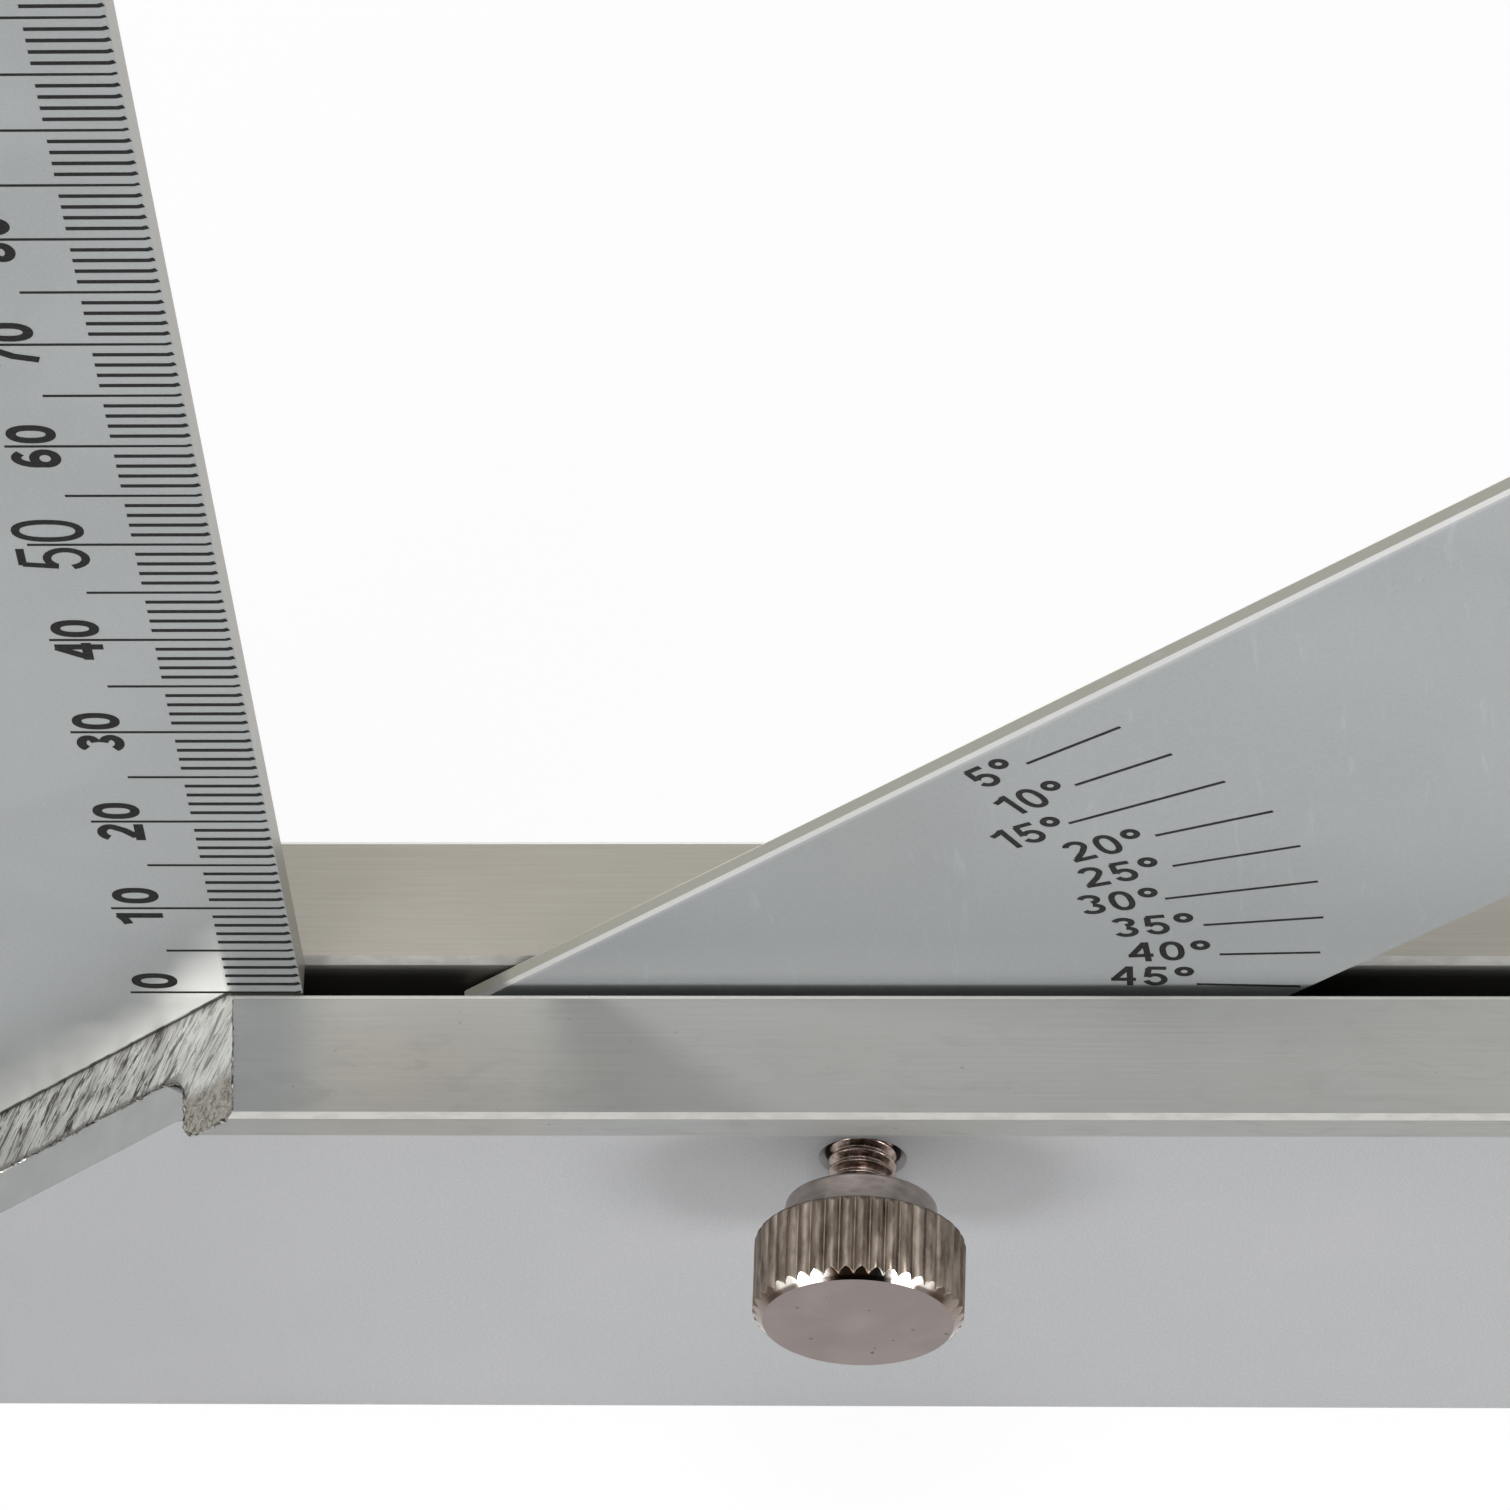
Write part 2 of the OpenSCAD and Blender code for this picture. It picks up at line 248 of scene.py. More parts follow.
def flange_tint(p, tint):
    """The flange's front edge: duller on the left, and lighter on both sides of the thumbscrew by painted
    light.
    """
    front = p.facing(*FRONT_FACE)
    tint = p.mix(p.times(front, p.span(p.x, 10.0, 17.0, 0.32, 0.0)), tint, rgb(126, 125, 122))
    # Painted light on both sides of the thumbscrew, lifting the knob's shadow on the front edge
    knob_side_light = p.span(p.magnitude(p.minus(p.x, SCREW_X)), 1.5, 8.0, 0.4, 0.0)
    return p.mix(p.times(front, knob_side_light), tint, rgb(190, 190, 187))


def rear_tint(p, tint, drawn):
    """The fence behind the slot: warm, with stronger streaks."""
    rear = p.times(p.facing(*TOP_FACE), p.span(p.y, 0.5, 1.0))
    tint = p.mix(p.times(rear, 0.8), tint, rgb(157, 152, 141))
    return p.mix(p.times(rear, p.span(drawn, 0.35, 0.7, 0.0, 0.14)), tint, rgb(184, 180, 168))


def slot_tint(p, tint):
    """The slot's walls, darker with depth below the chamfers: painted shade."""
    depth = p.span(p.z, -2.0, -0.45, 1.0, 0.0)
    between = p.span(p.magnitude(p.y), SLOT_HALF + 0.02, SLOT_HALF + 0.06, 1.0, 0.0)
    return p.mix(p.times(depth, between), tint, rgb(72, 70, 66))


def rim_tint(p, tint, rear_chamfer):
    """Burnished chamfers with nicks and painted highlights; those that face back carry the brightest, less so
    far along the fence.
    """
    nick = p.noise(1.5, (0.35, 1, 1), rough=0.6, shift=(8, 8, 2))
    front_rail = p.mix(p.span(nick, 0.42, 0.6), rgb(180, 179, 174), rgb(171, 170, 165))
    rear_rail = p.mix(p.span(nick, 0.35, 0.65), rgb(166, 164, 160), rgb(152, 150, 146))
    shine = p.mix(p.span(p.y, 0.0, 0.5), front_rail, rear_rail)
    tint = p.mix(p.larger(rear_chamfer, p.facing(*FRONT_CHAMFER)), tint, shine)
    # Painted highlight on the chamfers that face back
    bright = p.times(rear_chamfer, p.span(p.x, 20.0, 44.0, 1.0, 0.75))
    return p.mix(bright, tint, rgb(255, 254, 247))


# The saw marks' direction on the cut: its share towards the front and its share down the mitre
SAW_FORWARD, SAW_DOWN = 0.75, 0.66


def sawn_metal(p):
    """The sawn mitre's colour and relief: streaks, chewed below the flange and torn at its tip."""
    half = math.sqrt(0.5)
    along = p.vector("DOT_PRODUCT", p.mm, (-SAW_DOWN * half, -SAW_FORWARD, -SAW_DOWN * half))
    across = p.vector("DOT_PRODUCT", p.mm, (-SAW_FORWARD * half, SAW_DOWN, -SAW_FORWARD * half))
    cut = p.add("ShaderNodeCombineXYZ", [(0, along), (1, across)]).outputs[0]
    streak = p.noise(1.0, (0.45, 2.3, 1), detail=5, rough=0.66, warp=0.8, at=cut)
    fine = p.noise(1.0, (0.8, 5.5, 1), detail=4, rough=0.7, warp=0.5, at=cut, shift=(5, 3, 0))
    patch = p.noise(1.0, (0.35, 0.6, 1), at=cut, shift=(2, 8, 0))
    metal = p.mix(p.span(streak, 0.38, 0.52), rgb(72, 67, 60), rgb(236, 236, 233))
    for value, start, end, low, high, tone in (
            (fine, 0.34, 0.48, 0.6, 0.0, rgb(84, 79, 73)),
            (patch, 0.35, 0.6, 0.35, 0.0, rgb(120, 114, 108)),
            (p.x, -12.0, -5.5, 0.2, 0.0, rgb(100, 95, 88)),
            (p.x, -9.0, -6.5, 0.0, 0.35, rgb(228, 228, 224))):
        metal = p.mix(p.span(value, start, end, low, high), metal, tone)
    crumb = p.noise(1.7, detail=5, rough=0.75, warp=1.8)
    ragged = p.plus(p.magnitude(p.y), p.times(crumb, 1.6))
    below = p.span(p.z, -3.6, -3.0, 1.0, 0.0)
    chewed = p.times(below, p.span(ragged, 5.15, 5.35, 0.0, 0.75))
    metal = p.mix(chewed, metal, p.mix(p.span(crumb, 0.38, 0.62), rgb(62, 57, 51), rgb(150, 145, 138)))
    torn = p.times(p.span(ragged, 6.6, 7.6), 0.8)
    metal = p.mix(torn, metal, p.mix(p.span(crumb, 0.38, 0.58), rgb(68, 58, 48), rgb(178, 170, 157)))
    return metal, p.plus(streak, p.times(crumb, torn))


def rail_material():
    """Drawn aluminium, painted face by face, and sawn at the mitre."""
    p = Paint("drawn_aluminium")
    cloud = p.noise(0.045, (1, 1.6, 1.6), rough=0.55, warp=0.6)
    drawn = p.noise(5.0, (0.02, 1, 1), rough=0.6)
    speck = p.noise(1.6, detail=2, shift=(9, 2, 5))
    rear_chamfer = p.facing(*REAR_CHAMFER)
    sawn = p.facing(*MITRE_FACE)
    tint = drawn_tint(p, cloud, drawn)
    tint = fence_tint(p, tint)
    tint = flange_tint(p, tint)
    tint = p.mix(p.span(speck, 0.72, 0.78, 0.0, 0.35), tint, rgb(90, 88, 82))
    tint = rear_tint(p, tint, drawn)
    tint = slot_tint(p, tint)
    tint = rim_tint(p, tint, rear_chamfer)
    metal, relief = sawn_metal(p)
    rough = p.span(cloud, 0.3, 0.7, 0.5, 0.58)
    height = p.plus(p.times(p.minus(1.0, sawn), p.times(drawn, 0.12)), p.times(sawn, relief))
    metallic = p.plus(p.minus(0.45, p.times(rear_chamfer, 0.35)), p.times(sawn, 0.4))
    return p.finish(p.mix(sawn, tint, metal), rough, p.bump(height, 0.55, 0.12), metallic)


def cheek_material():
    """Blasted aluminium with a smooth mitre."""
    p = Paint("blasted_aluminium")
    grain = p.noise(7.0, rough=0.7)
    cloud = p.noise(0.035, (1, 1, 1.2), warp=0.4)
    tint = p.mix(p.span(cloud, 0.35, 0.65), rgb(160, 161, 163), rgb(164, 164, 166))
    tint = p.mix(p.span(grain, 0.35, 0.65, 0.0, 0.4), tint, rgb(190, 191, 192))
    tint = p.mix(p.span(p.x, -12.0, 6.0, 0.22, 0.0), tint, rgb(138, 139, 141))
    # The mitre is milled smooth
    mitre = p.facing(*MITRE_FACE)
    smooth = p.mix(p.span(p.noise(0.5), 0.3, 0.7), rgb(170, 171, 171), rgb(176, 177, 176))
    tint = p.mix(mitre, tint, smooth)
    grain = p.mix(mitre, grain, (0.5, 0.5, 0.5, 1.0))
    # Bright bare metal in the countersink of the thumbscrew's hole
    rim = p.times(p.span(p.from_screw(), 2.54, 2.6, 1.0, 0.0), in_front(p))
    tint = p.mix(rim, tint, rgb(190, 189, 190))
    bare = p.larger(mitre, rim)
    rough = p.minus(p.span(grain, 0.3, 0.7, 0.46, 0.56), p.times(bare, 0.2))
    height = p.times(grain, p.minus(1.0, bare))
    return p.finish(tint, rough, p.bump(height, 0.35, 0.03), metallic=0.08)


def plate_paint(name, dark, light):
    """What both anodised plates share: the paint, its tint, roughness and grain."""
    p = Paint(name)
    grain = p.noise(5.0, rough=0.65)
    cloud = p.noise(0.05, warp=0.5)
    tint = p.mix(p.span(cloud, 0.35, 0.65), dark, light)
    tint = p.mix(p.span(grain, 0.3, 0.7, 0.0, 0.1), tint, rgb(196, 200, 202))
    return p, tint, p.span(cloud, 0.3, 0.7, 0.32, 0.345), grain


def scale_material():
    """Anodised plate, with a grey inner edge, a painted reflection above the mitre and painted shade in the
    corner.
    """
    p, tint, rough, grain = plate_paint("anodised_scale", rgb(145, 148, 148), rgb(151, 154, 154))
    tint = p.mix(p.facing(*RIGHT_FACE), tint, rgb(138, 136, 129))
    front = p.facing(*FRONT_FACE)
    # The height above the mitre's slope
    above = p.plus(p.minus(p.z, p.x), MITRE_X)
    # Painted reflection of the bright sawn mitre, on the blade just above it
    soft = p.noise(0.16, detail=2, shift=(1, 6, 2))
    reach = p.plus(p.span(soft, 0.35, 0.65, 5.2, 7.8), p.span(p.x, -9.0, -5.0, 0.0, 3.0))
    mitre_reflection = p.times(p.span(above, 0.2, reach, 1.0, 0.0), p.span(p.x, MITRE_X - 0.5, MITRE_X + 0.1, 1.0, 0.0))
    mitre_reflection = p.math("POWER", p.times(mitre_reflection, p.span(p.x, -17.0, -7.0, 0.6, 1.0)), 1.15)
    tint = p.mix(p.times(front, mitre_reflection), tint, rgb(238, 238, 234))
    # Painted shade in the crease between the blade and the stock, along the fence and the mitre's edge
    fence_crease_shade = p.times(p.span(p.z, -0.12, 0.0, 1.0, 0.0), p.span(p.x, MITRE_X - 0.3, MITRE_X - 0.1))
    line = p.span(p.noise(0.8, detail=2, shift=(4, 4, 4)), 0.35, 0.65, 0.16, 0.34)
    mitre_crease_shade = p.times(p.span(above, line, 0.5, 1.0, 0.0), p.span(p.x, MITRE_X - 0.3, MITRE_X, 1.0, 0.0))
    tint = p.mix(p.times(front, p.larger(fence_crease_shade, mitre_crease_shade)), tint, rgb(50, 48, 45))
    return p.finish(tint, rough, p.bump(grain, 0.2, 0.02), metallic=0.3)


def arm_material():
    """Anodised plate, lighter towards the fence by painted light, with painted highlights along its upper
    edge.
    """
    p, tint, rough, grain = plate_paint("anodised_arm", rgb(147, 150, 151), rgb(152, 155, 156))
    front = p.facing(*FRONT_FACE)
    # Painted light on the front face near the fence, lifting the rail's shade
    tint = p.mix(p.times(front, p.span(p.z, 0.8, 6.0, 0.3, 0.0)), tint, rgb(176, 179, 180))
    # Painted highlight: a lighter band just below the upper edge
    up = p.plus(p.times(p.x, -ARM_SIN), p.times(p.z, ARM_COS))
    edge_highlight = p.times(front, p.span(up, ARM_TOP - 0.62, ARM_TOP - 0.22, 0.0, 0.6))
    tint = p.mix(edge_highlight, tint, rgb(186, 187, 186))
    # The upper edge with its rear and front bevels, whose light tones are painted highlights
    for y, low, high, tone in ((0, 0.6, 0.9, rgb(166, 164, 154)), (1, 0.95, 0.98, rgb(248, 243, 224)),
                               (-1, 0.95, 0.98, rgb(188, 188, 186))):
        tint = p.mix(p.facing((-ARM_SIN, y, ARM_COS), low, high), tint, tone)
    scratch = p.noise(1.1, (1.0, 1.0, 0.12), rough=0.6, warp=0.8)
    tint = p.mix(p.span(scratch, 0.6, 0.75, 0.0, 0.2), tint, rgb(188, 194, 198))
    return p.finish(tint, rough, p.bump(grain, 0.2, 0.02), metallic=0.15)


def plain_metal(name, dark, light, low, high, scale=1.0, stretch=(1, 1, 1)):
    """Clouded metal between two colours and two roughnesses."""
    p = Paint(name)
    cloud = p.noise(scale, stretch, detail=4, rough=0.6)
    tint = p.mix(p.span(cloud, 0.3, 0.7), dark, light)
    return p.finish(tint, p.span(cloud, 0.3, 0.7, low, high), p.bump(cloud, 0.2, 0.02))


def ink_material(name, tone):
    """Matte print in a grey of 0 to 255."""
    p = Paint(name)
    light = rgb(tone + 16, tone + 15, tone + 14)
    tint = p.mix(p.span(p.noise(4.0), 0.3, 0.7), rgb(tone, tone, tone), light)
    p.shader.inputs["Specular IOR Level"].default_value = 0.15
    return p.finish(tint, 0.7, metallic=0.0)


def disc_material():
    """The knob's turned end: lighter in the middle, darker below it, with a few pits."""
    p = Paint("knob_end")
    tint = p.mix(p.span(p.noise(0.25, warp=0.8), 0.35, 0.65), rgb(134, 124, 121), rgb(142, 131, 127))
    reach = p.from_screw()
    tint = p.mix(p.span(reach, 0.3, 1.6, 0.35, 0.0), tint, rgb(160, 150, 146))
    lower = p.span(p.z, SCREW_Z - 4.0, SCREW_Z - 0.5, 1.0, 0.0)
    tint = p.mix(p.times(p.span(reach, 2.0, 4.4, 0.55, 0.0), lower), tint, rgb(118, 113, 108))
    pits = p.span(p.noise(1.7, detail=1, rough=0.3, shift=(1, 1, 6)), 0.735, 0.765)
    tint = p.mix(pits, tint, rgb(96, 84, 80))
    return p.finish(tint, 0.42, p.bump(p.minus(1.0, pits), 0.4, 0.05))


def bevel_material():
    """Polished rim of the knob, with painted reflections: bright on two stretches beside its top, dark beyond
    them.
    """
    p = Paint("polished_nickel")
    cloud = p.noise(0.8, detail=4, rough=0.6)
    turn = p.magnitude(p.math("ARCTAN2", p.minus(p.x, SCREW_X), p.minus(p.z, SCREW_Z)))

    def from_top(start, end, low=0.0, high=1.0):
        return p.span(turn, math.radians(start), math.radians(end), low, high)

    lip_shade = p.span(p.y, END_Y + 0.14, END_Y + 0.3, 0.85, 0.0)
    tint = p.mix(p.span(cloud, 0.3, 0.7), rgb(142, 128, 118), rgb(160, 147, 137))
    # Painted reflections by angle from the top: the bright stretches, dark patches beyond them, a dark line
    # of painted shade at the lip, and a warmer top
    for share, tone in (
            (p.times(from_top(12, 16), from_top(46, 51, 0.9, 0.0)), rgb(246, 240, 232)),
            (from_top(10, 14, 1.0, 0.0), rgb(196, 156, 130)),
            (p.times(from_top(50, 54), from_top(60, 72, 0.8, 0.25)), rgb(60, 46, 39)),
            (p.times(lip_shade, from_top(60, 66, 1.0, 0.0)), rgb(70, 55, 47))):
        tint = p.mix(share, tint, tone)
    return p.finish(tint, p.span(cloud, 0.3, 0.7, 0.06, 0.12), p.bump(cloud, 0.2, 0.02))


RAIL = rail_material()
CHEEK = cheek_material()
SCALE = scale_material()
ARM = arm_material()
SPACER = plain_metal("mill_aluminium", rgb(140, 142, 141), rgb(166, 167, 164), 0.35, 0.5, 0.8, (0.1, 1, 1))
PIN = plain_metal("ground_pin", rgb(168, 168, 170), rgb(190, 190, 192), 0.22, 0.34, 2.0)
SCREW = plain_metal("dark_zinc", rgb(84, 84, 88), rgb(110, 110, 114), 0.34, 0.5, 1.5)
BRASS = plain_metal("turned_brass", rgb(184, 150, 82), rgb(204, 172, 104), 0.25, 0.4, 3.0, (1, 4, 1))
KNURL = plain_metal("knurled_nickel", rgb(106, 94, 84), rgb(156, 144, 133), 0.26, 0.42, 1.6, (1, 0.25, 1))
COLLAR = plain_metal("turned_nickel", rgb(164, 154, 149), rgb(182, 172, 167), 0.3, 0.4, 1.0, (1, 3, 1))
POLISH = bevel_material()
THREAD = plain_metal("rolled_thread", rgb(103, 87, 79), rgb(163, 147, 139), 0.16, 0.3, 2.0)
DISC = disc_material()
BURR = plain_metal("torn_edge", rgb(58, 54, 49), rgb(150, 147, 142), 0.35, 0.55, 2.6)
CHIP = plain_metal("bright_chip", rgb(206, 205, 200), rgb(240, 240, 236), 0.3, 0.4, 3.0)
INK = ink_material("black_print", 16)
FAINT_INK = ink_material("grey_print", 28)

NODE_MATERIALS = {
    "front_rail": RAIL, "rear_rail": RAIL, "front_cheek": CHEEK, "rear_cheek": CHEEK, "scale_blade": SCALE,
    "bottom_spacer": SPACER, "end_spacer": SPACER, "dowel_pins": PIN, "assembly_screws": SCREW,
    "cheek_screws": SCREW, "protractor_blade": ARM, "pressure_pad": BRASS,
}
for node_name, material in NODE_MATERIALS.items():
    for holder in frame["nodes"][node_name].material_slots:
        holder.material = material

# Pieces


def add_piece(name, bm, materials, body):
    bmesh.ops.recalc_face_normals(bm, faces=bm.faces)
    mesh = bpy.data.meshes.new(name)
    bm.to_mesh(mesh)
    bm.free()
    piece = bpy.data.objects.new(name, mesh)
    bpy.context.scene.collection.objects.link(piece)
    for paint in materials:
        mesh.materials.append(paint)
    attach(piece, body)
    return piece


class Print:
    """Flat marks on a plate's front face, each one a thin closed slab."""
    INTO, OUT = 0.004, 0.010
    # Slabs that cross differ in height, so that their faces don't coincide
    LAYERS, LAYER_STEP = 5, 0.001
    # Keeps a sharp bend's corner from running far out
    LEAST_COSINE = 0.5

    def __init__(self, face_y):
        self.bm = bmesh.new()
        self.face_y = face_y
        self.layer = 0

    def slab(self, left, right, closed):
        """A ribbon between two rows of points in x and z."""
        self.layer = (self.layer + 1) % self.LAYERS
        top = self.face_y - self.OUT - self.LAYER_STEP * self.layer
        base = self.face_y + self.INTO
        rows = []
        for a, b in zip(left, right):
            rows.append([self.bm.verts.new((x * MM, y * MM, z * MM))
                         for (x, z), y in ((a, top), (b, top), (b, base), (a, base))])
        count = len(rows) if closed else len(rows) - 1
        for i in range(count):
            p, q = rows[i], rows[(i + 1) % len(rows)]
            for k in range(4):
                self.bm.faces.new((p[k], p[(k + 1) % 4], q[(k + 1) % 4], q[k]))
        if not closed:
            self.bm.faces.new(rows[0])
            self.bm.faces.new(rows[-1][::-1])

    def stroke(self, points, width, closed=False):
        left, right = [], []
        n = len(points)
        for i, here in enumerate(points):
            before = points[(i - 1) % n] if closed or i else here
            after = points[(i + 1) % n] if closed or i < n - 1 else here
            a, b = (here - before), (after - here)
            a = a.normalized() if a.length else b.normalized()
            b = b.normalized() if b.length else a
            mid = (a + b).normalized()
            side = Vector((-mid.y, mid.x))
            reach = width / 2 / max(self.LEAST_COSINE, mid.dot(b))
            left.append(tuple(here + side * reach))
            right.append(tuple(here - side * reach))
        self.slab(left, right, closed)

    def text(self, text, origin, angle, height, width, weight, gap):
        """Writes from an origin at the baseline's left end."""
        u = Vector((math.cos(angle), math.sin(angle)))
        v = Vector((-u.y, u.x))
        pen = 0.0
        for char in text:
            across = text_length(char, width, gap)
            for path, closed in glyph(char, across / height, weight / height):
                points = [origin + u * (pen + x * height) + v * (y * height) for x, y in path]
                self.stroke(points, weight, closed)
            pen += across + gap


# The narrower characters' widths; the small "o" is the degree sign
GLYPH_WIDTH = {"1": 0.72, "o": 0.8}


def text_length(text, width, gap):
    return sum(GLYPH_WIDTH.get(char, 1.0) * width for char in text) + gap * (len(text) - 1)


def arc(cx, cy, rx, ry, start, end, steps=14):
    """Points of an ellipse from a start to an end in degrees."""
    turns = [math.radians(start + (end - start) * i / steps) for i in range(steps + 1)]
    return [(cx + rx * math.cos(a), cy + ry * math.sin(a)) for a in turns]


def ring(cx, cy, rx, ry, power=2.0, steps=28):
    """A closed oval; a power above 2 makes it squarer."""
    def bent(v):
        return math.copysign(abs(v) ** (2 / power), v)
    turns = [2 * math.pi * i / steps for i in range(steps)]
    return [(cx + rx * bent(math.cos(a)), cy + ry * bent(math.sin(a))) for a in turns]


def glyph(char, w, s):
    """Strokes of a character in a cell one high and w wide, as (points, closed); s is the stroke's weight."""
    h = s / 2
    cx = w / 2
    rx = cx - h
    if char == "0":
        return [(ring(cx, 0.5, rx, 0.5 - h, 2.3), True)]
    if char == "1":
        x = w - h
        return [([(x, 0.0), (x, 1.0)], False), ([(0.02, 0.77), (x * 0.55, 0.83), (x, 0.97 - h * 0.4)], False)]
    if char == "2":
        neck = [(w * 0.62, 0.42), (w * 0.25, 0.19), (h * 1.1, s * 0.9)]
        return [(arc(cx, 0.71, rx, 0.29 - h, 165, -30) + neck, False), ([(0.0, h), (w, h)], False)]
    if char == "3":
        return [(arc(cx, 0.745, rx * 0.94, 0.255 - h, 160, -80), False),
                (arc(cx, 0.27, rx, 0.27 - h, 82, -165), False)]
    if char == "4":
        x = w * 0.76
        return [([(x, 0.0), (x, 1.0)], False), ([(0.0, 0.24 + h), (w, 0.24 + h)], False),
                ([(h, 0.25 + h), (x - h * 0.3, 0.97)], False)]
    if char == "5":
        return [([(w * 0.2, 1 - h), (w * 0.95, 1 - h)], False),
                ([(w * 0.2 + h * 0.4, 1 - h), (h * 1.35, 0.45)], False),
                (arc(cx, 0.325, rx, 0.325 - h, 145, -165, 18), False)]
    if char == "6":
        return [(ring(cx, 0.32, rx, 0.32 - h), True),
                (arc(cx + 0.02, 0.5, rx + 0.02, 0.5 - h, 195, 48), False)]
    if char == "7":
        return [([(0.0, 1 - h), (w, 1 - h)], False),
                ([(w - h, 1 - s * 0.9), (w * 0.55, 0.5), (w * 0.36, 0.0)], False)]
    if char == "8":
        return [(ring(cx, 0.755, rx * 0.9, 0.245 - h), True), (ring(cx, 0.27, rx, 0.27 - h), True)]
    if char == "9":
        return [(ring(cx, 0.68, rx, 0.32 - h), True),
                (arc(cx - 0.02, 0.5, rx + 0.02, 0.5 - h, 15, -132), False)]
    if char == "o":
        return [(ring(cx, 1.0 - cx, rx, rx), True)]
    raise ValueError(char)


SCALE_END = 250
# Spacing, length and weight of the ticks, the widest spacing first
TICKS = ((10, 9.9, 0.22), (5, 7.3, 0.22), (1, 4.25, 0.31))
# Each tick ends in a short rise at the blade's inner edge
HOOK_START, HOOK_END, HOOK_RISE = 0.36, 0.07, 0.13
# Height, character width, weight and baseline x of the numbers; every fifth number is big
SMALL_NUMBER = 2.64, 1.8, 0.54, -7.05
BIG_NUMBER = 3.9, 2.25, 0.46, -6.7
NUMBER_GAP, TEN_GAP, ZERO_START = 0.62, 1.15, 0.48


def number_start(z, text, width, gap):
    """Where a number begins: its tick passes between two digits, or through the middle one of three."""
    if z == 0:
        return ZERO_START
    if len(text) == 2:
        return z - text_length(text[0], width, gap) - gap / 2
    return z - text_length(text, width, gap) / 2


def scale_marks():
    """Millimetre scale up the inner edge, its numbers read upwards."""
    ticks, digits = Print(BLADE_FRONT), Print(BLADE_FRONT)
    for z in range(SCALE_END + 1):
        length, weight = next((length, weight) for spacing, length, weight in TICKS if z % spacing == 0)
        hook = [Vector((-HOOK_START, z)), Vector((-HOOK_END, z + HOOK_RISE))]
        ticks.stroke([Vector((-length, z))] + hook, weight)
    for z in range(0, SCALE_END + 1, 10):
        height, width, weight, base = BIG_NUMBER if z > 0 and z % 50 == 0 else SMALL_NUMBER
        text = str(z)
        gap = TEN_GAP if z == 10 else NUMBER_GAP
        start = number_start(z, text, width, gap)
        digits.text(text, Vector((base, start)), math.pi / 2, height, width, weight, gap)
    add_piece("scale_ticks", ticks.bm, [INK], "stock")
    add_piece("scale_digits", digits.bm, [INK], "stock")


# Each angle's line, from an inner to an outer radius about the vertex, and its label's radius and bearing
FAN = {
    5: (39.5, 46.1, 37.39, 40.44), 10: (40.1, 46.5, 37.34, 35.06), 15: (37.4, 47.3, 34.98, 30.01),
    20: (41.0, 48.1, 38.0, 25.1), 25: (40.5, 48.0, 37.53, 20.31), 30: (38.9, 47.7, 36.35, 15.42),
    35: (40.3, 47.1, 37.53, 10.53), 40: (40.7, 46.4, 37.92, 5.74), 45: (39.2, 45.1, 36.72, 1.28),
}
# The bearing of the mark for 0 degrees at the lines' inner and outer ends
FAN_INNER, FAN_OUTER = 44.8, 44.5
FAN_WEIGHT = 0.22
# Height, character width, weight and gap of the labels
LABEL = 2.25, 1.42, 0.37, 0.38


def bearing(degrees):
    """The unit vector in x and z at an angle to the fence."""
    a = math.radians(degrees)
    return Vector((math.cos(a), math.sin(a)))


def fan_marks():
    """Angle marks whose lines meet at the vertex, with their labels along them."""
    lines, labels = Print(ARM_FRONT), Print(ARM_FRONT)
    height, width, weight, gap = LABEL
    for n, (inner, outer, radius, label_bearing) in FAN.items():
        ends = [VERTEX + r * bearing(lead - n) for r, lead in ((inner, FAN_INNER), (outer, FAN_OUTER))]
        lines.stroke(ends, FAN_WEIGHT)
        text = str(n) + "o"
        u = bearing(FAN_OUTER - n)
        v = Vector((-u.y, u.x))
        middle = VERTEX + radius * bearing(label_bearing)
        corner = middle - u * text_length(text, width, gap) / 2 - v * height / 2
        labels.text(text, corner, math.radians(FAN_OUTER - n), height, width, weight, gap)
    add_piece("angle_lines", lines.bm, [FAINT_INK], "arm")
    add_piece("angle_labels", labels.bm, [FAINT_INK], "arm")


# The saw cut runs out of square by this
SAW_ERROR = math.radians(3.0)
BURR_R, FINE_BURR_R, BURR_STEP, BURR_SIDES = 0.1, 0.06, 0.2, 6


def sawn_point(y, z):
    """The point of the front rail's sawn end at a y and z."""
    return Vector((MITRE_X - math.tan(SAW_ERROR) * (y + SLOT_HALF) + z / math.cos(SAW_ERROR), y, z))


def burr(name, path, radius, material):
    """A thin ragged rim of metal along a path of points."""
    points = []
    for a, b in zip(path, path[1:]):
        count = max(1, round((b - a).length / BURR_STEP))
        points += [a.lerp(b, i / count) for i in range(count)]
    points.append(path[-1])
    turns = [2 * math.pi * k / BURR_SIDES for k in range(BURR_SIDES)]
    bm = bmesh.new()
    rings = []
    for i, here in enumerate(points):
        ahead = (points[min(i + 1, len(points) - 1)] - points[max(i - 1, 0)]).normalized()
        u = ahead.orthogonal().normalized()
        v = ahead.cross(u)
        size = radius * random.choice((0.35, 0.6, 0.8, 1.0, 1.5))
        here = here + Vector(random.uniform(-0.5, 0.5) * radius for _ in range(3))
        sides = [u * math.cos(a) + v * math.sin(a) for a in turns]
        rings.append([bm.verts.new((here + size * random.uniform(0.7, 1.2) * side) * MM) for side in sides])
    for a, b in zip(rings, rings[1:]):
        for k in range(BURR_SIDES):
            bm.faces.new((a[k], a[(k + 1) % BURR_SIDES], b[(k + 1) % BURR_SIDES], b[k]))
    bm.faces.new(rings[0])
    bm.faces.new(rings[-1][::-1])
    add_piece(name, bm, [material], "stock")


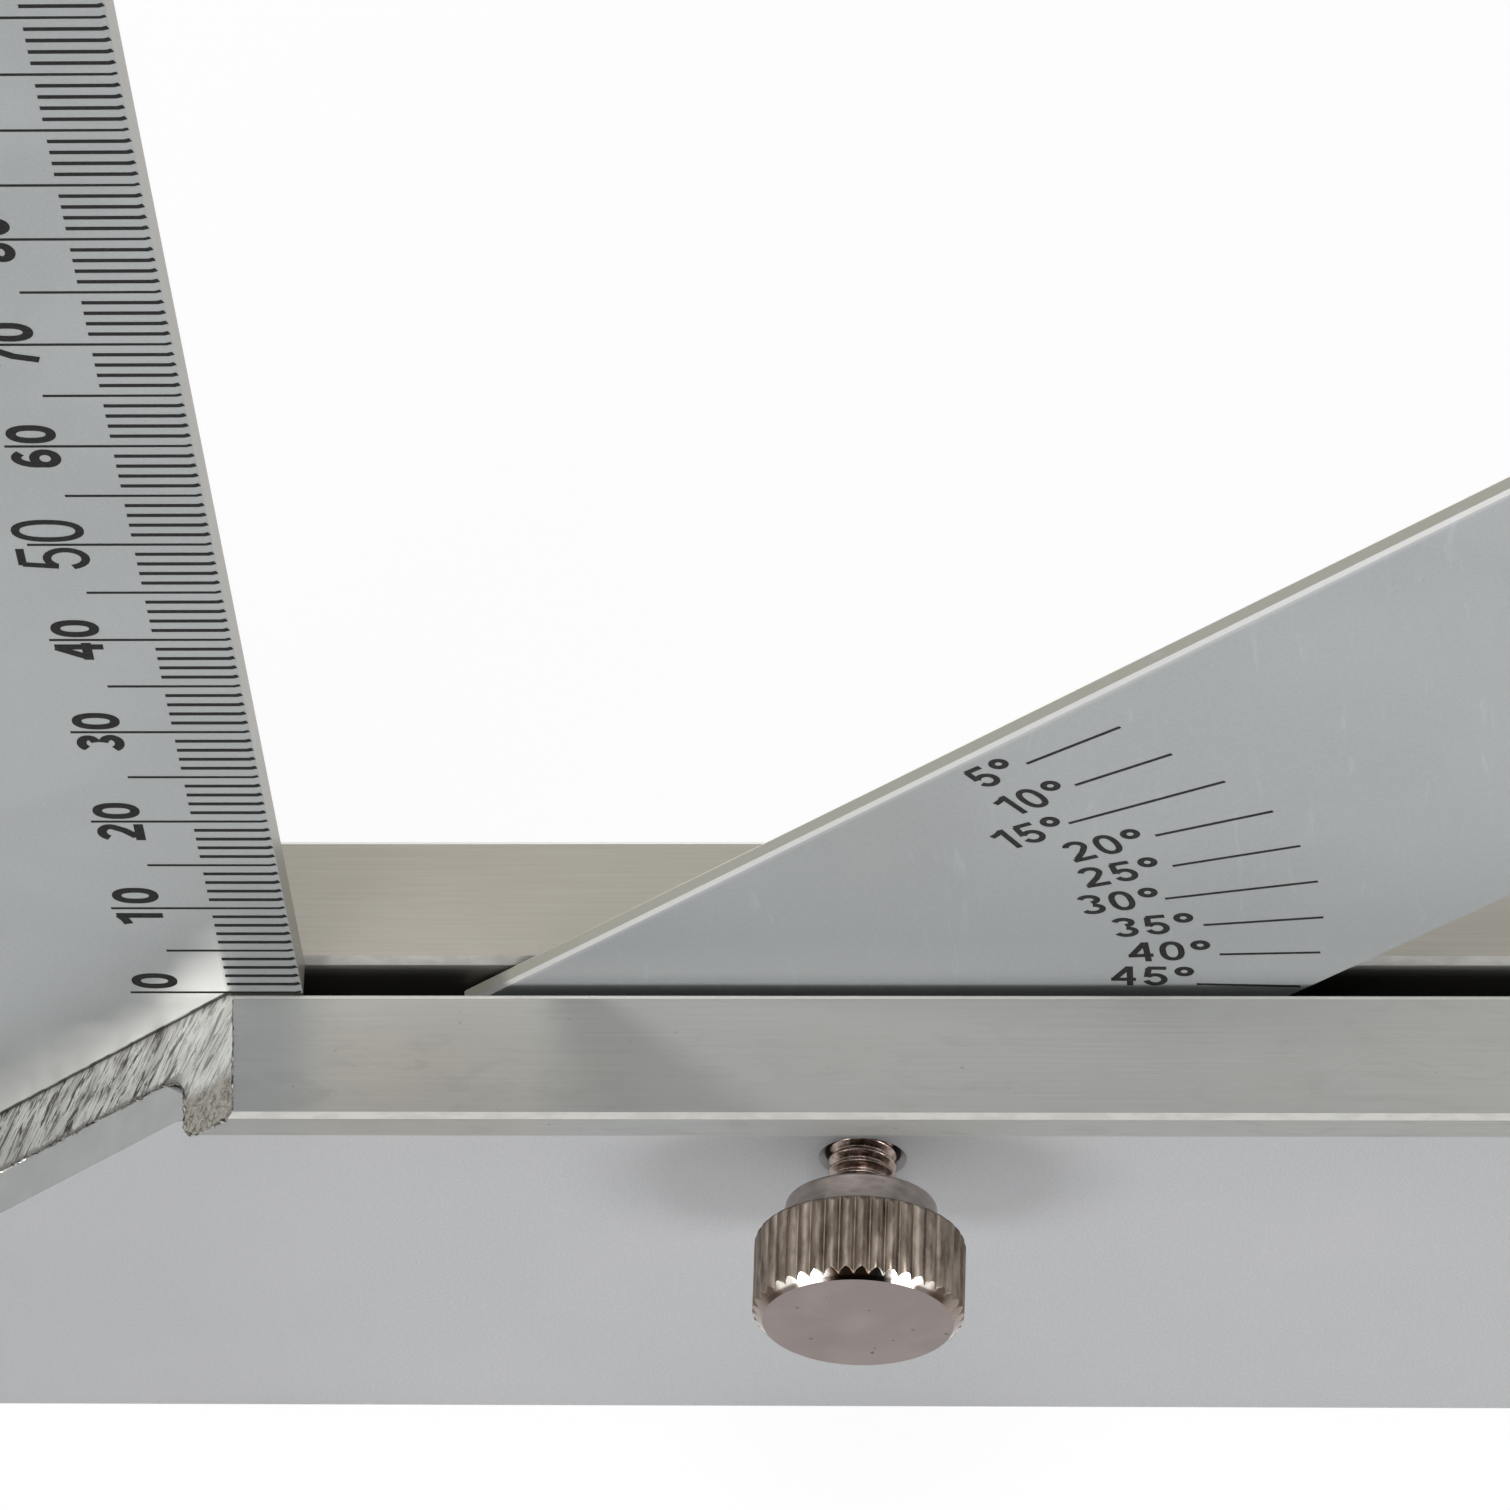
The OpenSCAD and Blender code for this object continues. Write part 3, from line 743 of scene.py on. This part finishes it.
def saw_burrs():
    """Burrs round the front rail's sawn end: up its wall, round the fillet and the flange's nose."""
    round_r = 1.0
    # The burr is partly sunk in the wall, and the chips stand a little proud of it
    lower = [Vector((z + MITRE_X, WALL_Y + 0.04, z)) for z in (-39.0, -20.0, -10.0, -4.2)]
    fillet = [sawn_point(WALL_Y - round_r * (1 - math.cos(a)), FLANGE_UNDER - round_r * (1 - math.sin(a)))
              for a in (math.radians(d) for d in (20, 45, 70, 90))]
    nose = [sawn_point(FLANGE_FRONT + round_r * (1 - math.sin(a)), FLANGE_UNDER + round_r * (1 - math.cos(a)))
            for a in (math.radians(d) for d in (0, 30, 60, 90))]
    chips = [Vector((z + MITRE_X - 0.03, WALL_Y - 0.02, z)) for z in (-33.0, -22.0, -13.2)]
    burr("lower_saw_burr", lower + fillet + nose + [sawn_point(FLANGE_FRONT, -0.5)], BURR_R, BURR)
    burr("upper_saw_burr", [sawn_point(y, 0.0) for y in (-1.5, -8.6)], FINE_BURR_R, BURR)
    burr("bright_chips", chips, FINE_BURR_R, CHIP)


# The thumbscrew from its end, which faces the front, to the tip of its thread
KNOB_LEN, COLLAR_LEN = 5.2, 2.2
HEAD_Y = END_Y + KNOB_LEN
COLLAR_Y = HEAD_Y + COLLAR_LEN
COLLAR_R, THREAD_R, THREAD_PITCH, THREAD_DEPTH = 4.35, 1.95, 0.7, 0.42
KNURLS, KNURL_DEPTH, KNURL_POWER = 42, 0.3, 1.9
BEVEL, BEVEL_ROWS = 0.54, 14
SHOULDER_R, SHOULDER_ROWS, SIDE_ROWS = 0.45, 8, 6
COLLAR_ROUND = 0.2
TAPER_LEN, TAPER = 0.5, 0.2
# Neighbouring rows of different materials stand this far apart
ROW_GAP = 0.02
COLUMNS_TO_A_KNURL, THREAD_COLUMNS, ROWS_TO_A_PITCH = 14, 56, 14
# Numbers of the head's materials
SIDE, CHAMFER, END, NECK = range(4)


def about_screw(y, radius, turn):
    """A point about the screw's axis, in metres."""
    return (SCREW_X + radius * math.sin(turn)) * MM, y * MM, (SCREW_Z + radius * math.cos(turn)) * MM


def lathe(name, rows, columns, body, materials):
    """A closed shape about the screw's axis: rows of (y, radius by angle, material number).

    The number can be a function of the share of a turn.
    """
    bm = bmesh.new()
    turns = [2 * math.pi * i / columns for i in range(columns)]
    rings = [[bm.verts.new(about_screw(y, radius(t), t)) for t in turns] for y, radius, _ in rows]
    for (a, b), (_, _, material) in zip(zip(rings, rings[1:]), rows):
        for i in range(columns):
            face = bm.faces.new((a[i], a[(i + 1) % columns], b[(i + 1) % columns], b[i]))
            face.material_index = material(i / columns) if callable(material) else material
            face.smooth = a[i].co.y != b[i].co.y
    for ends, (y, _, index) in ((rings[0], rows[0]), (rings[-1], rows[-1])):
        middle = bm.verts.new(about_screw(y, 0, 0))
        for i in range(columns):
            bm.faces.new((ends[i], ends[(i + 1) % columns], middle)).material_index = index
    for edge in bm.edges:
        edge.smooth = len({face.material_index for face in edge.link_faces}) == 1
    return add_piece(name, bm, materials, body)


def plain(r):
    return lambda t: r


def knurl(t):
    """The head's radius at an angle: ridges with a groove between each two."""
    u = (t * KNURLS / (2 * math.pi) + 0.5) % 1 - 0.5
    return KNOB_R - KNURL_DEPTH * (1 - 2 * abs(u)) ** KNURL_POWER


def limited(r):
    """The knurled radius, cut off at r."""
    return lambda t: min(knurl(t), r)


def bevelled(r):
    """The bevel where it has cut into the ridges, the side where the grooves still run."""
    return lambda share: CHAMFER if knurl(2 * math.pi * share) > r else SIDE


def thread(y):
    """The shank's radius by angle at a y: the groove between narrow crests, and a taper at the tip."""
    lead = min(1.0, (TIP_Y - y) / TAPER_LEN)

    def radius(t):
        phase = (y / THREAD_PITCH + t / (2 * math.pi)) % 1
        groove = min(1.0, max(0.0, 2.3 * abs(phase - 0.5) - 0.1))
        return (THREAD_R - THREAD_DEPTH * groove) * (1 - TAPER + TAPER * lead)
    return radius


def head_rows():
    """Collar, rounded shoulder, knurled side, bevel and end, in that order."""
    # Rings that keep the triangles of the flat faces short
    inner_r, outer_r, end_r = 0.6, KNOB_R - 0.6, 3.0
    flat_r = COLLAR_R - COLLAR_ROUND
    rows = [(COLLAR_Y, plain(inner_r), NECK), (COLLAR_Y, plain(flat_r), NECK)]
    for a in (math.radians(d) for d in (75, 60, 45, 30, 15, 0)):
        y = COLLAR_Y - COLLAR_ROUND + COLLAR_ROUND * math.sin(a)
        rows.append((y, plain(flat_r + COLLAR_ROUND * math.cos(a)), NECK))
    rows.append((HEAD_Y + ROW_GAP, plain(COLLAR_R), NECK))
    rows.append((HEAD_Y, plain(COLLAR_R + ROW_GAP), SIDE))
    rows.append((HEAD_Y, plain(outer_r), SIDE))
    for i in range(1, SHOULDER_ROWS + 1):
        a = math.pi / 2 * i / SHOULDER_ROWS
        r = KNOB_R - SHOULDER_R + SHOULDER_R * math.sin(a)
        rows.append((HEAD_Y - SHOULDER_R * (1 - math.cos(a)), limited(r), SIDE))
    side_y = HEAD_Y - SHOULDER_R
    bevel_y = END_Y + BEVEL + 2 * ROW_GAP
    rows += [(side_y + (bevel_y - side_y) * i / SIDE_ROWS, knurl, SIDE) for i in range(1, SIDE_ROWS)]
    for i in range(BEVEL_ROWS + 1):
        cut = BEVEL * i / BEVEL_ROWS
        r = KNOB_R - ROW_GAP / 2 - cut
        rows.append((bevel_y - cut, limited(r), bevelled(r)))
    return rows + [(END_Y, plain(KNOB_R - BEVEL - 0.05), END), (END_Y, plain(end_r), END)]


def thumbscrew():
    """The detailed head and thread, which take the place of the CAD's plain screw."""
    materials = [KNURL, POLISH, DISC, COLLAR]
    head = lathe("knurled_head", head_rows(), KNURLS * COLUMNS_TO_A_KNURL, "screw", materials)
    # The shank begins a little inside the collar
    length = TIP_Y - COLLAR_Y + 0.2
    count = round(length / THREAD_PITCH * ROWS_TO_A_PITCH)
    heights = [TIP_Y - length * i / count for i in range(count + 1)]
    lathe("threaded_shank", [(y, thread(y), 0) for y in heights], THREAD_COLUMNS, "screw", [THREAD])
    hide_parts("thumbscrew")


scale_marks()
fan_marks()
saw_burrs()
thumbscrew()

# Light, floor and camera, in metres
WHITE = (1, 1, 1, 1)
AMBIENT = 0.1
# The studio that glossy rays see: white, but for a dark patch in front and 23 degrees up
DARK_DIRECTION = (0.03, -0.921, 0.388)
DARK_START, DARK_FULL, DARK_LEVEL = 0.91, 0.95, 0.02
FLOOR_RADIUS, FLOOR_GREY, FLOOR_GLOW, FLOOR_GLOW_SHARE = 6.0, (0.8, 0.8, 0.8, 1), 1.04, 0.88
# The floor's distance under the foot, in millimetres
FLOOR_GAP = 0.02
# Name, place, target, size and watts of each softbox
LIGHTS = (
    ("left_light", (-0.53, -0.82, 0.18), (0.03, 0, 0), (0.4, 0.28), 4.12),
    ("right_light", (0.66, -0.775, 0.18), (0.03, 0, 0), (0.4, 0.28), 4.45),
    ("rear_light", (0.2, 1.0, 0.06), (0.05, 0, 0.06), (0.8, 0.16), 2.4),
    ("top_light", (0.05, -0.08, 1.0), (0.05, 0, 0), (0.6, 0.4), 6.6),
)
# The photo's camera, which its perspective of the millimetre scale gives; lens and sensor in millimetres
CAMERA_PLACE = (0.062701, -0.273034, 0.505726)
CAMERA_TURN = Quaternion((0.96626921, 0.25554228, 0.03101319, 0.00775497))
CAMERA_LENS, CAMERA_SENSOR = 240.45, 36.0
CAMERA_NEAR, CAMERA_FAR = 0.01, 50.0


def background(tree, strength):
    return add_node(tree, "ShaderNodeBackground", [("Color", WHITE), ("Strength", strength)]).outputs[0]


def either(tree, a, b):
    return add_node(tree, "ShaderNodeMath", [(0, a), (1, b)], operation="MAXIMUM").outputs[0]


def blend(tree, share, a, b):
    return add_node(tree, "ShaderNodeMixShader", [(0, share), (1, a), (2, b)]).outputs[0]


def world():
    """White to the camera, dim light on the surfaces, and the studio for glossy rays."""
    studio = bpy.data.worlds.new("studio")
    bpy.context.scene.world = studio
    studio.use_nodes = True
    tree = studio.node_tree
    tree.nodes.clear()
    path = add_node(tree, "ShaderNodeLightPath").outputs
    coord = add_node(tree, "ShaderNodeTexCoord").outputs
    toward = add_node(tree, "ShaderNodeVectorMath", [(0, coord["Generated"]), (1, DARK_DIRECTION)],
                      operation="DOT_PRODUCT").outputs["Value"]
    inputs = [("Value", toward), ("From Min", DARK_START), ("From Max", DARK_FULL)]
    inputs += [("To Min", 1.0), ("To Max", DARK_LEVEL)]
    mirrored = add_node(tree, "ShaderNodeMapRange", inputs, interpolation_type="SMOOTHSTEP").outputs["Result"]
    lit = blend(tree, path["Is Glossy Ray"], background(tree, AMBIENT), background(tree, mirrored))
    seen = either(tree, path["Is Camera Ray"], path["Is Transmission Ray"])
    add_node(tree, "ShaderNodeOutputWorld", [("Surface", blend(tree, seen, lit, background(tree, 1.0)))])


def floor():
    """A disc under the foot that glows white for camera and glossy rays, and is matte for the rest."""
    bm = bmesh.new()
    bmesh.ops.create_circle(bm, cap_ends=True, segments=96, radius=FLOOR_RADIUS)
    mesh = bpy.data.meshes.new("floor")
    bm.to_mesh(mesh)
    bm.free()
    piece = bpy.data.objects.new("floor", mesh)
    bpy.context.scene.collection.objects.link(piece)
    piece.location.z = (FOOT_Z - FLOOR_GAP) * MM
    mat = bpy.data.materials.new("white_floor")
    mat.use_nodes = True
    tree = mat.node_tree
    tree.nodes.clear()
    path = add_node(tree, "ShaderNodeLightPath").outputs
    seen = either(tree, path["Is Camera Ray"], path["Is Transmission Ray"])
    seen = either(tree, seen, path["Is Glossy Ray"])
    inputs = [(0, seen), (1, FLOOR_GLOW_SHARE)]
    share = add_node(tree, "ShaderNodeMath", inputs, operation="MULTIPLY").outputs[0]
    matte = add_node(tree, "ShaderNodeBsdfDiffuse", [("Color", FLOOR_GREY)]).outputs[0]
    glow = add_node(tree, "ShaderNodeEmission", [("Strength", FLOOR_GLOW)]).outputs[0]
    add_node(tree, "ShaderNodeOutputMaterial", [("Surface", blend(tree, share, matte, glow))])
    mesh.materials.append(mat)


def softbox(name, place, target, size, watts):
    lamp = bpy.data.lights.new(name, "AREA")
    lamp.shape = "RECTANGLE"
    lamp.size, lamp.size_y = size
    lamp.energy = watts
    box = bpy.data.objects.new(name, lamp)
    box.location = place
    aim = Vector(target) - Vector(place)
    box.rotation_mode = "QUATERNION"
    box.rotation_quaternion = aim.to_track_quat("-Z", "Y")
    bpy.context.scene.collection.objects.link(box)


def camera():
    data = bpy.data.cameras.new("camera")
    data.lens = CAMERA_LENS
    data.sensor_width = CAMERA_SENSOR
    data.clip_start = CAMERA_NEAR
    data.clip_end = CAMERA_FAR
    view = bpy.data.objects.new("camera", data)
    view.location = CAMERA_PLACE
    view.rotation_mode = "QUATERNION"
    view.rotation_quaternion = CAMERA_TURN
    bpy.context.scene.collection.objects.link(view)
    bpy.context.scene.camera = view


world()
floor()
for light in LIGHTS:
    softbox(*light)
camera()
bpy.context.scene.view_settings.view_transform = "Standard"
